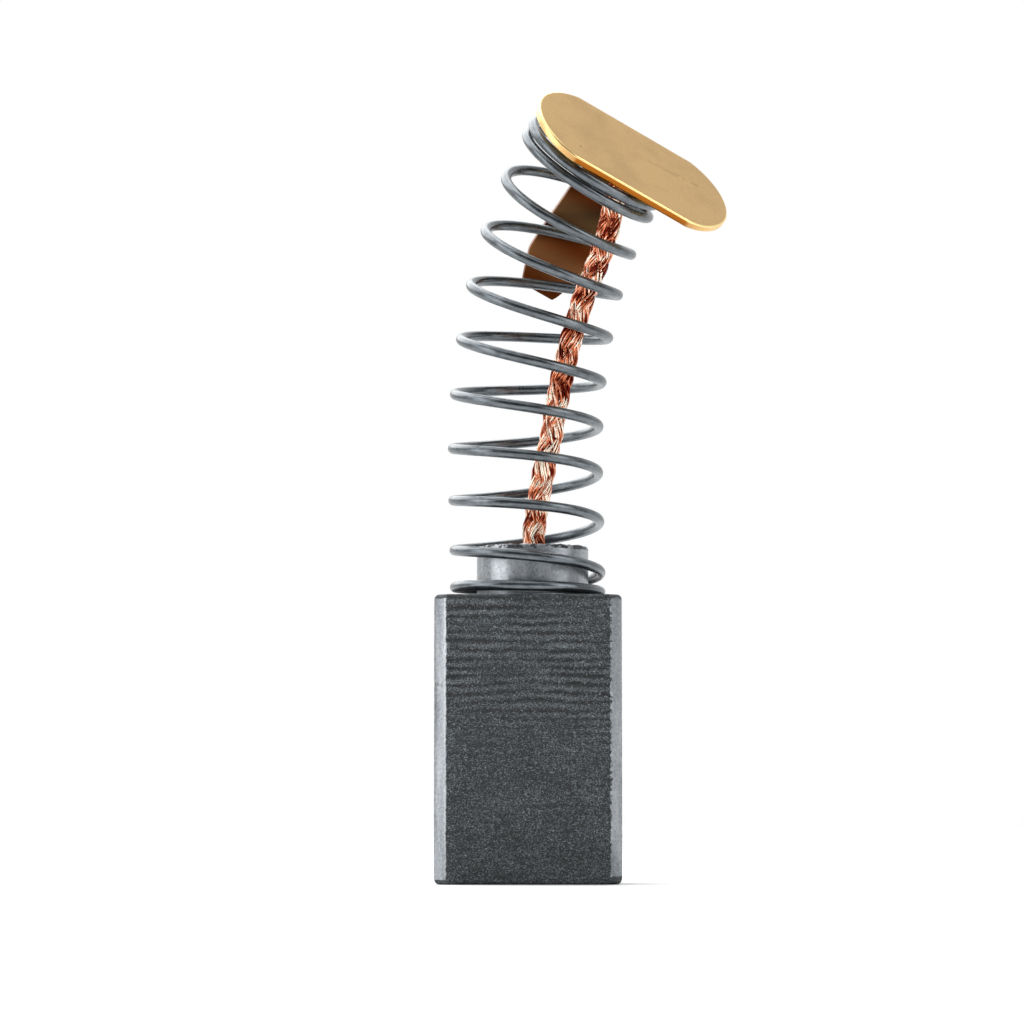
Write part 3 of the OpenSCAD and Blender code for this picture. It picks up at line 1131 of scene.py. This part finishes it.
@dataclass
class SpringAxis:
    """The bent middle line of the spring, with the rise of its wire turn by turn."""

    seat_z: float
    wire_d: float = 0.43
    coil_d: float = 6.0
    turns: float = 10.9
    pitch: float = 2.07
    foot_turns: float = 0.8
    head_turns: float = 1.65
    lean: float = 40.0
    lean_direction: float = -36.0
    lean_power: float = 2.2
    sway: float = 3.0
    ease_turns: float = 0.5
    seat_gap: float = 0.02
    steps: int = 1200

    def rise(self, turn: np.ndarray) -> np.ndarray:
        """Distance along the axis at each turn: the running sum of the local pitch.

        The pitch is the closed turns' at both ends and the open turns' between them.

        Args:
            turn: Evenly spaced turns from 0 to the spring's last.

        Returns:
            The distances.
        """
        closed = self.wire_d + self.seat_gap
        head = self.turns - self.head_turns
        half = self.ease_turns / 2
        share = smooth((turn - self.foot_turns + half) / self.ease_turns)
        share *= 1 - smooth((turn - head + half) / self.ease_turns)
        rate = closed + (self.pitch - closed) * share
        return running_sum((rate[1:] + rate[:-1]) / 2 * (turn[1] - turn[0]))

    def bend(self, t: np.ndarray) -> np.ndarray:
        """Angle from upright: the lean grows as a power of the share, less a slight sway in the lower half.

        Args:
            t: Share of the axis, from 0 to 1.

        Returns:
            The angles in radians.
        """
        degrees = self.lean * np.power(np.clip(t, 0, None), self.lean_power)
        degrees -= self.sway * np.sin(TURN * np.minimum(t, 0.5))
        return np.radians(degrees)

    def wire(self, rings: int) -> tuple[np.ndarray, np.ndarray]:
        """The wire's middle line and its directions away from the axis.

        The axis is the running sum of its heading. The wire stands off it by half the coil's diameter,
        at a bearing that falls by a full circle each turn, as the wire is wound left-handed.

        Args:
            rings: Number of points.

        Returns:
            The points and the outward directions.
        """
        turn = np.linspace(0.0, self.turns, rings)
        s = self.rise(turn)
        fine = np.linspace(0.0, s[-1], self.steps)
        middle = self.bend((fine[1:] + fine[:-1]) / 2 / s[-1])
        step = fine[1] - fine[0]
        out = np.interp(s, fine, running_sum(np.sin(middle) * step))
        up = np.interp(s, fine, running_sum(np.cos(middle) * step))
        angle = self.bend(s / s[-1])
        zero = np.zeros(rings)
        foot_z = self.seat_z + self.seat_gap + self.wire_d / 2
        axis = np.stack([out, zero, up + foot_z], -1)
        across = np.stack([np.cos(angle), zero, -np.sin(angle)], -1)
        bearing = np.radians(-360.0 * turn - self.lean_direction)
        away = np.cos(bearing)[:, None] * across + np.sin(bearing)[:, None] * np.array([0.0, 1.0, 0.0])
        return about_z(axis + away * self.coil_d / 2, self.lean_direction), about_z(away, self.lean_direction)


@dataclass
class CoilSpring(SqueezedPiece):
    """The left-hand compression spring, closed at both ends."""

    name: ClassVar[str] = "spring_wire"
    node: ClassVar[str] = "coil_spring"
    slot: ClassVar[Slot] = Slot.SPRING
    finish: ClassVar[Finish] = DrawnSteel()

    axis: SpringAxis
    rings_per_turn: int = 110
    sides: int = 20
    end_round: float = 0.06

    def surfaces(self) -> list[Surface]:
        """The wire's skin along the axis, two rings short at each end, where the rounding stands.

        Returns:
            One skin, with the value "grain".
        """
        path, away = self.axis.wire(int(self.axis.turns * self.rings_per_turn))
        return [tube(path[2:-2], away[2:-2], self.axis.wire_d / 2, self.sides, self.end_round)]


@dataclass
class CapFrame:
    """The plate's place: the middle of its top, and how it is tilted and turned, in degrees."""

    centre: np.ndarray
    tilt: float = 49.7
    direction: float = -45.6
    turn: float = 55.0

    def world(self, points: np.ndarray) -> np.ndarray:
        """Points of the plate's own frame, in the model's frame.

        Args:
            points: Points as distances along the plate, towards its rear and above its top face.

        Returns:
            The placed points.
        """
        p = about_z(points, self.turn)
        c, s = math.cos(math.radians(self.tilt)), math.sin(math.radians(self.tilt))
        p = np.stack([p[..., 0] * c + p[..., 2] * s, p[..., 1], -p[..., 0] * s + p[..., 2] * c], -1)
        return about_z(p, self.direction) + self.centre


@dataclass
class TerminalCap(SubAssembly):
    """The stamped brass cap: a plate with rounded ends, and a folded tongue from its rear edge."""

    name: ClassVar[str] = "cap_sheet"
    node: ClassVar[str] = "terminal_cap"
    slot: ClassVar[Slot] = Slot.BRASS
    body: ClassVar[Body] = Body.CAP
    finish: ClassVar[Finish] = RolledBrass()
    sharp_degrees: ClassVar[float | None] = 35.0

    place: CapFrame
    sheet: float = 0.34
    width: float = 5.0
    length: float = 9.2
    end_r: float = 2.62
    edge_round: float = 0.08
    # The tongue, from its root to its cut end
    tongue_w: float = 2.6
    tongue_shift: float = 0.7
    tongue_root: float = 1.65
    tongue_l: float = 6.85
    taper: float = 1.5
    taper_power: float = 0.8
    end_w: float = 1.5
    fold_in: float = 0.32
    fold_r: float = 0.35
    root_slope: float = 46.0
    hang_slope: float = 104.0
    wave: float = 0.16
    section_power: float = 0.12
    section_points: int = 44
    # Places through the section beyond this lie on its flat faces
    flat_from: float = 0.9
    # Points in the plate's end arcs and sides, in the tongue's folds and in its two straight parts
    arc_points: int = 60
    side_points: int = 40
    fold_points: int = 12
    root_points: int = 6
    hang_points: int = 50
    # Rings in the plate's edge, those of them that make its upper rim, and the places of the inner rings
    edge_rings: int = 6
    rim_rings: int = 4
    inner_steps: tuple[float, ...] = (0.03, 0.35, 0.7, 0.95)
    # How far the plate's middle line stops short of its ends, in end radii
    spine_in: float = 1.2
    # How much painted highlight the upper rim and the end faces get, and how much of the edges' painted
    # colour the tongue's edges get
    rim_highlight: float = 0.8
    end_highlight: float = 0.6
    tongue_edge: float = 0.3
    # Share of the brown painted shade on the tongue's outer face, and its bands along the tongue, which stand
    # for dark reflections of its bends
    outer_painted_shade: float = 0.35
    shade_band_level: float = 0.93
    shade_band_swing: float = 0.07
    shade_band_spacing: float = 2.3
    shade_band_shift: float = 0.15

    def outline(self) -> tuple[np.ndarray, np.ndarray]:
        """The plate's outline: two straight sides and two end arcs.

        Returns:
            The points, anticlockwise, and their outward normals.
        """
        half = math.asin(self.width / 2 / self.end_r)
        centre = self.length / 2 - self.end_r
        right_n = around(np.linspace(-half, half, self.arc_points))
        right = np.array([centre, 0.0]) + self.end_r * right_n
        junction = centre + self.end_r * math.cos(half)
        run = np.linspace(junction, -junction, self.side_points)[1:-1]
        top = np.stack([run, np.full(len(run), self.width / 2)], -1)
        top_n = np.repeat([[0.0, 1.0]], len(run), 0)
        return np.concatenate([right, top, -right, -top]), np.concatenate([right_n, top_n, -right_n, -top_n])

    def plate(self) -> Surface:
        """The plate's skin, from the middle of its underside round its edge to the middle of its top.

        Each edge ring is the outline moved in by the edge rounding. The inner rings shrink towards the
        plate's long middle line.

        Returns:
            The skin with the values "edge", "rim" and the share of painted shade.
        """
        outline, normal = self.outline()
        r, turn = self.edge_round, np.linspace(0.0, QUARTER, self.edge_rings)
        inset = np.concatenate([r - r * np.sin(turn), r - r * np.cos(turn)])
        edge_z = np.concatenate([-self.sheet + r - r * np.cos(turn), -r + r * np.sin(turn)])
        reach = self.length / 2 - self.spine_in * self.end_r
        spine = np.stack([np.clip(outline[:, 0], -reach, reach), np.zeros(len(outline))], -1)
        shares = np.array(self.inner_steps)
        inner = between(spine, outline - r * normal, shares)
        flats = np.concatenate([inner, outline - inset[:, None, None] * normal, inner[::-1]])
        flat_z = np.full(len(shares), self.sheet)
        rings = at_heights(flats, np.concatenate([-flat_z, edge_z, 0.0 * flat_z]))
        edge, rim = np.zeros((2, len(flats), 1))
        last = len(shares) + len(inset) - 1
        edge[len(shares) : last] = 1.0
        # Painted highlight: the upper rim, and the end faces by how far they face along the plate, are
        # painted pale; the long sides keep the painted darker gold.
        rim[last - self.rim_rings : last] = self.rim_highlight
        endwise = np.abs(normal[:, 0])
        values = {
            "edge": edge * (1.0 - self.end_highlight * endwise),
            "rim": rim + edge * self.end_highlight * endwise * (1 - rim),
            "painted_shade": np.zeros(rings.shape[:2]),
        }
        return Surface(self.place.world(rings), values)

    def tongue_line(self) -> tuple[np.ndarray, np.ndarray]:
        """The side view of the tongue's outer face.

        It turns down through an arc to the root's slope, runs straight, turns on through a second arc to
        the hanging slope, then hangs with one shallow wave. An arc's point is r * (sin a, cos a - 1), and
        its heading there is (cos a, -sin a).

        Returns:
            The points, as distances to the rear and above the plate's top, and their headings.
        """
        root, hang = math.radians(self.root_slope), math.radians(self.hang_slope)
        turns = np.linspace([0.0, root], [root, hang], self.fold_points, axis=1)
        arcs = (self.fold_r + self.sheet) * np.stack([np.sin(turns), np.cos(turns) - 1], -1)
        root_heading = np.array([math.cos(root), -math.sin(root)])
        hang_heading = np.array([math.cos(hang), -math.sin(hang)])
        fold = np.array([self.width / 2 - self.fold_in, 0.0]) + arcs[0]
        corner = fold[-1] + self.tongue_root * root_heading
        straight = corner + np.linspace(-0.8, 0, self.root_points)[:, None] * self.tongue_root * root_heading
        turned = corner + arcs[1, 1:] - arcs[1, 0]
        t = np.linspace(0.0, 1.0, self.hang_points)[1:, None]
        swing = self.wave * np.sin(TURN * t) * smooth(4 * t) * smooth(4 - 4 * t)
        hanging = turned[-1] + t * self.tongue_l * hang_heading
        hanging = hanging - swing * np.array([math.sin(hang), math.cos(hang)])
        points = np.concatenate([fold, straight, turned, hanging])
        return points, unit(np.gradient(points, axis=0))

    def tongue(self) -> Surface:
        """The tongue's skin: a round-edged strip section carried along its side view, tapered at its end.

        The section is a superellipse: the cosine and the sine of its angle, each raised to a small power.

        Returns:
            The skin with the values "edge", "rim" and the share of painted shade.
        """
        line, heading = self.tongue_line()
        inward = np.stack([heading[:, 1], -heading[:, 0]], -1)
        run = run_along(line)
        taper = np.clip((run[-1] - run) / self.taper, 0, 1) ** self.taper_power
        half = self.end_w / 2 + (self.tongue_w - self.end_w) / 2 * taper
        angle = np.linspace(0, TURN, self.section_points, endpoint=False) + math.pi / self.section_points
        section = around(angle)
        across, through = (np.sign(section) * np.abs(section) ** self.section_power).T
        middle = line + inward * self.sheet / 2
        u = self.tongue_shift + half[:, None] * across
        vn = middle[:, None] - through[None, :, None] * inward[:, None] * self.sheet / 2
        points = np.stack([u, vn[..., 0], vn[..., 1]], -1)
        edge = np.repeat(self.tongue_edge * (np.abs(through) < self.flat_from)[None], len(line), 0)
        # Painted shade: the inner face gets the full brown and the outer face a lighter share, in bands along
        # the tongue.
        outer = np.where(through > self.flat_from, self.outer_painted_shade, 1.0)
        shade_bands = np.cos(TURN * (run / self.shade_band_spacing - self.shade_band_shift))
        painted_shade = (self.shade_band_level + self.shade_band_swing * shade_bands)[:, None] * outer
        values = {"edge": edge[::-1], "rim": np.zeros(edge.shape), "painted_shade": painted_shade[::-1]}
        return Surface(self.place.world(points[::-1]), values)

    def surfaces(self) -> list[Surface]:
        """The plate's skin and the tongue's."""
        return [self.plate(), self.tongue()]


@dataclass
class Pigtail(SqueezedPiece):
    """The braided copper pigtail: strands that run both ways round it, each of several parallel filaments."""

    name: ClassVar[str] = "pigtail_filaments"
    node: ClassVar[str] = "pigtail_braid"
    slot: ClassVar[Slot] = Slot.BRAID
    finish: ClassVar[Finish] = DrawnCopper()

    cap: TerminalCap
    route: tuple[Triple, ...] = (
        (0.25, 0.3, 9.5),
        (0.25, 0.3, 11.7),
        (0.25, 0.3, 14.2),
        (0.5, 0.25, 16.1),
        (1.0, 0.1, 18.6),
        (1.5, -0.1, 21.2),
        (2.25, -0.5, 23.9),
        (3.1, -1.05, 26.1),
    )
    end_along: float = -0.1
    end_below: float = 0.3
    strand_r: float = 0.385
    pitch: float = 6.4
    strands_each_way: int = 4
    weave: float = 0.038
    core_r: float = 0.27
    core_sides: int = 12
    core_round: float = 0.05
    filament_d: float = 0.084
    sides: int = 6
    rings: int = 205
    # Place of each filament across its strand and above the strand's middle
    bundle: tuple[tuple[float, float], ...] = (
        (-0.255, -0.035), (-0.17, 0.0), (-0.085, 0.02), (0.0, 0.03),
        (0.085, 0.02), (0.17, 0.0), (0.255, -0.035), (-0.09, -0.05), (0.09, -0.05),
    )
    # Slow waves of a filament sideways and up: height, and radians for each millimetre
    sideways: tuple[tuple[float, float], ...] = ((0.030, 1.9), (0.022, 4.3))
    upwards: tuple[tuple[float, float], ...] = ((0.011, 2.7), (0.010, 6.1))
    # Tone of a filament and of patches of this length along its strand: partly the filaments' own tone,
    # partly painted highlight and shade
    tones: tuple[float, float] = (0.18, 0.66)
    patch_tone: float = 0.42
    patch: float = 0.5
    # Spread of the filaments along the finish's pattern, so that each meets another part of it
    pattern_spread: float = 400.0

    patches: ClassVar[Grain] = Grain(21, (1.0, 1.0, 1.0))

    def centre(self) -> tuple[np.ndarray, np.ndarray]:
        """The Catmull-Rom curve through the route's points and the pigtail's end, evenly spaced.

        Returns:
            The points and the distances along the curve.
        """
        end = self.cap.place.world(np.array([self.end_along, 0.0, -self.cap.sheet - self.end_below]))
        knots = np.array([*self.route, end])
        k = np.concatenate([knots[:1], knots, knots[-1:]])
        t = np.linspace(0.0, 1.0, 60, endpoint=False)[:, None]
        spans = []
        for a, b, c, d in zip(k, k[1:], k[2:], k[3:]):
            curve = 2 * b + (c - a) * t + (2 * a - 5 * b + 4 * c - d) * t**2 + (3 * b - a - 3 * c + d) * t**3
            spans.append(0.5 * curve)
        line = np.concatenate(spans + [knots[-1:]])
        run = run_along(line)
        even = np.linspace(0.0, run[-1], self.rings)
        return np.stack([np.interp(even, run, line[:, i]) for i in range(3)], -1), even

    def filament(self, strand: float, way: int, place: tuple[float, float], seed: int) -> Surface:
        """One filament of a strand.

        The strand's bearing turns with the distance along the pigtail, and its radius rises and falls by
        the weave, so that it passes over and under the strands that run the other way. The filament keeps
        its place across the strand, with slow waves of its own.

        Args:
            strand: Number of the strand.
            way: 1 or -1, the way round that it runs.
            place: Place across the strand and above its middle, in millimetres.
            seed: Seed of its waves and its tone.

        Returns:
            The filament's skin, with the values "grain" and "tone".
        """
        line, run = self.centre()
        heading = unit(np.gradient(line, axis=0))
        a = unit(np.cross(np.array([0.0, 1.0, 0.0]), heading))
        b = np.cross(heading, a)
        rng = np.random.default_rng(seed)
        phases = rng.uniform(0, TURN, 4)
        wander = sum(size * np.sin(run * rate + phase) for (size, rate), phase in zip(self.sideways, phases))
        lift = sum(size * np.sin(run * rate + phase) for (size, rate), phase in zip(self.upwards, phases[2:]))
        turn = TURN * run / self.pitch
        over = np.sin(self.strands_each_way * turn)
        radius = self.strand_r + way * self.weave * over + lift + place[1]
        bearing = way * turn + TURN * strand / self.strands_each_way + (place[0] + wander) / self.strand_r
        outward = np.cos(bearing)[:, None] * a + np.sin(bearing)[:, None] * b
        path = line + radius[:, None] * outward
        skin = tube(path, outward, self.filament_d / 2, self.sides, self.filament_d / 3)
        # Strands lie apart in the lattice of patches, so that each has patches of its own
        own = np.stack([np.full(len(run), 3.0 * strand), np.full(len(run), 5.0 * way), run / self.patch], -1)
        patches = np.pad(self.patches.at(own), TUBE_END_RINGS, mode="edge")
        tone = rng.uniform(*self.tones) + self.patch_tone * patches
        skin.values["tone"] = np.repeat(tone[:, None], self.sides, 1)
        skin.values["grain"][..., 0] += rng.uniform(0.0, self.pattern_spread)
        return skin

    def surfaces(self) -> list[Surface]:
        """A core in the darkest tone, painted shade between the strands that also keeps the braid from being
        seen through, and every filament of both ways.

        Returns:
            The skins, with the values "grain" and "tone".
        """
        line, _ = self.centre()
        side = np.repeat([[0.0, 1.0, 0.0]], len(line), 0)
        core = tube(line, side, self.core_r, self.core_sides, self.core_round)
        # Painted shade: the core gets the ramp's darkest red.
        core.values["tone"] = np.zeros(core.points.shape[:2])
        skins = [core]
        for n in range(self.strands_each_way):
            for way, strand in ((1, n), (-1, n + 0.5)):
                for j, place in enumerate(self.bundle):
                    skins.append(self.filament(strand, way, place, 100 * n + 10 * j + way + 1))
        return skins


@dataclass
class SolderJoint(SubAssembly):
    """The low cone of solder between the pigtail's end and the plate."""

    name: ClassVar[str] = "solder_fillet"
    node: ClassVar[str] = "solder_joint"
    slot: ClassVar[Slot] = Slot.SOLDER
    body: ClassVar[Body] = Body.CAP
    # Soft solder sets to a bright, slightly frosted grey.
    finish: ClassVar[Finish] = DullGrain(
        name="soft_solder",
        tones=((0.35, "8d8e8b"), (0.65, "c9cac6")),
        metallic=1.0,
        roughness=0.32,
        grain_per_mm=3.0,
        depth=0.01,
    )

    cap: TerminalCap
    height: float = 0.43
    wide: float = 1.1
    narrow: float = 0.62
    hollow: float = 2.2
    along: float = -0.1
    sides: int = 48
    rings: int = 14
    inner_share: float = 0.6
    lump: float = 0.05

    lumps: ClassVar[Grain] = Grain(9, (0.6, 0.6, 0.6))

    def surfaces(self) -> list[Surface]:
        """A revolved fillet, hollow like a power of its height, with a slightly uneven skin.

        Returns:
            One skin.
        """
        t = np.linspace(0.0, 1.0, self.rings)
        radii = self.narrow + (self.wide - self.narrow) * t**self.hollow
        ends = [POLE_R, self.narrow * self.inner_share], [self.wide * self.inner_share, POLE_R]
        radii = np.concatenate([ends[0], radii, ends[1]])
        heights = np.concatenate([[-self.height] * 2, -self.height * (1 - t), [0.0] * 2]) - self.cap.sheet
        points = revolved(radii, heights, self.sides)
        below = np.abs(points[..., 2:]) > self.cap.sheet
        points[..., :2] *= 1 + self.lump * self.lumps.at(points)[..., None] * below
        points[..., 0] += self.along
        return [Surface(self.cap.place.world(points))]


# The studio


@dataclass(frozen=True)
class Panel:
    """A soft rectangular light that faces the brush: place and size in millimetres, power in watts."""

    name: str
    at: Triple
    size: tuple[float, float]
    power: float
    aim: Triple = (0.0, 0.0, 15.0)

    def build(self) -> None:
        """Puts the light up, turned towards its aim."""
        data = bpy.data.lights.new(self.name, "AREA")
        data.shape = "RECTANGLE"
        data.size, data.size_y = self.size[0] * MM, self.size[1] * MM
        data.energy = self.power
        light = bpy.data.objects.new(self.name, data)
        light.location = [v * MM for v in self.at]
        x, y, z = np.array(self.aim) - np.array(self.at)
        light.rotation_euler = (math.atan2(math.hypot(x, y), -z), 0.0, math.atan2(y, x) - QUARTER)
        bpy.context.scene.collection.objects.link(light)


@dataclass
class Studio:
    """The floor, the soft lights and the camera at the photograph's angle."""

    # The camera's place in millimetres, its tilt in degrees and its focal length in picture pixels
    eye: Triple = (-0.65, -160.0, 2.744)
    look_up: float = 4.475
    focal_px: float = 3883.0
    picture_px: float = 1024.0
    sensor_mm: float = 36.0
    clip_mm: tuple[float, float] = (5.0, 50000.0)
    floor_half: float = 900.0
    floor_drop: float = 0.02
    sun_strength: float = 2.3
    sun_width: float = 70.0
    sun_tilt: tuple[float, float, float] = (-40.0, 0.0, 35.0)
    room_dark: str = "55585b"
    room_pale: str = "ffffff"
    # Where the room turns from dark to pale, along the view
    room_turn: tuple[float, float] = (-0.2, 0.5)
    panels: tuple[Panel, ...] = (
        Panel("left_panel", (-140.0, -45.0, 60.0), (90.0, 140.0), 0.115),
        Panel("right_panel", (110.0, -65.0, 80.0), (80.0, 120.0), 0.085),
        Panel("top_panel", (-10.0, -30.0, 160.0), (140.0, 140.0), 0.1),
    )

    def camera(self) -> None:
        """A camera close to the floor, turned up a little."""
        data = bpy.data.cameras.new("camera")
        data.sensor_width = self.sensor_mm
        data.lens = self.focal_px / self.picture_px * self.sensor_mm
        data.clip_start, data.clip_end = (v * MM for v in self.clip_mm)
        camera = bpy.data.objects.new("camera", data)
        camera.location = [v * MM for v in self.eye]
        camera.rotation_euler = (math.radians(90.0 + self.look_up), 0.0, 0.0)
        bpy.context.scene.collection.objects.link(camera)
        bpy.context.scene.camera = camera

    def floor(self) -> None:
        """A plain pale floor, wide enough to meet the pale surroundings."""
        h, z = self.floor_half * MM, -self.floor_drop * MM
        mesh = bpy.data.meshes.new("floor")
        mesh.from_pydata([(-h, -h, z), (h, -h, z), (h, h, z), (-h, h, z)], [], [(0, 1, 2, 3)])
        mesh.materials.append(PaleFloor().build())
        floor = bpy.data.objects.new("floor", mesh)
        bpy.context.scene.collection.objects.link(floor)

    def back_light(self) -> None:
        """A very soft light from above and behind, which keeps the whole floor pale."""
        data = bpy.data.lights.new("back_light", "SUN")
        data.energy = self.sun_strength
        data.angle = math.radians(self.sun_width)
        light = bpy.data.objects.new("back_light", data)
        light.rotation_euler = [math.radians(v) for v in self.sun_tilt]
        bpy.context.scene.collection.objects.link(light)

    def surroundings(self) -> None:
        """A pale room that is darker on the camera's side, so that metal has something to reflect."""
        world = bpy.data.worlds.new("pale_room")
        world.use_nodes = True
        tree = world.node_tree
        tree.nodes.clear()
        where = add_node(tree, "TexCoord", out="Generated")
        back = add_node(tree, "SeparateXYZ", {"Vector": where}, "Y")
        limits = {"Value": back, "From Min": self.room_turn[0], "From Max": self.room_turn[1]}
        share = add_node(tree, "MapRange", limits, interpolation_type="SMOOTHSTEP")
        colour = layered(tree, linear(self.room_dark), [(share, linear(self.room_pale))])
        background = add_node(tree, "Background", {"Color": colour, "Strength": 1.0})
        add_node(tree, "OutputWorld", {"Surface": background})
        bpy.context.scene.world = world

    def build(self) -> None:
        """Sets the whole studio up."""
        self.camera()
        self.floor()
        self.surroundings()
        for panel in self.panels:
            panel.build()
        self.back_light()
        bpy.context.scene.view_settings.view_transform = "Standard"


def main() -> None:
    """Sets the studio up, builds the brush from the block up, and logs the points and faces of each piece."""
    logging.basicConfig(level=logging.INFO, format="%(name)s: %(message)s")
    Studio().build()
    mounts = {mount["name"]: mount for mount in frame["record"]["mounts"]}
    block = CarbonBlock()
    cap = TerminalCap(CapFrame(np.array(mounts["cap_face"]["pos_m"]) / MM))
    spring = CoilSpring(SpringAxis(block.length))
    for sub_assembly in (block, TampingPlug(block), spring, Pigtail(cap), cap, SolderJoint(cap)):
        piece = sub_assembly.build()
        LOG.info("%s: %d points, %d faces", piece.name, len(piece.data.vertices), len(piece.data.polygons))


if __name__ == "__main__":
    main()
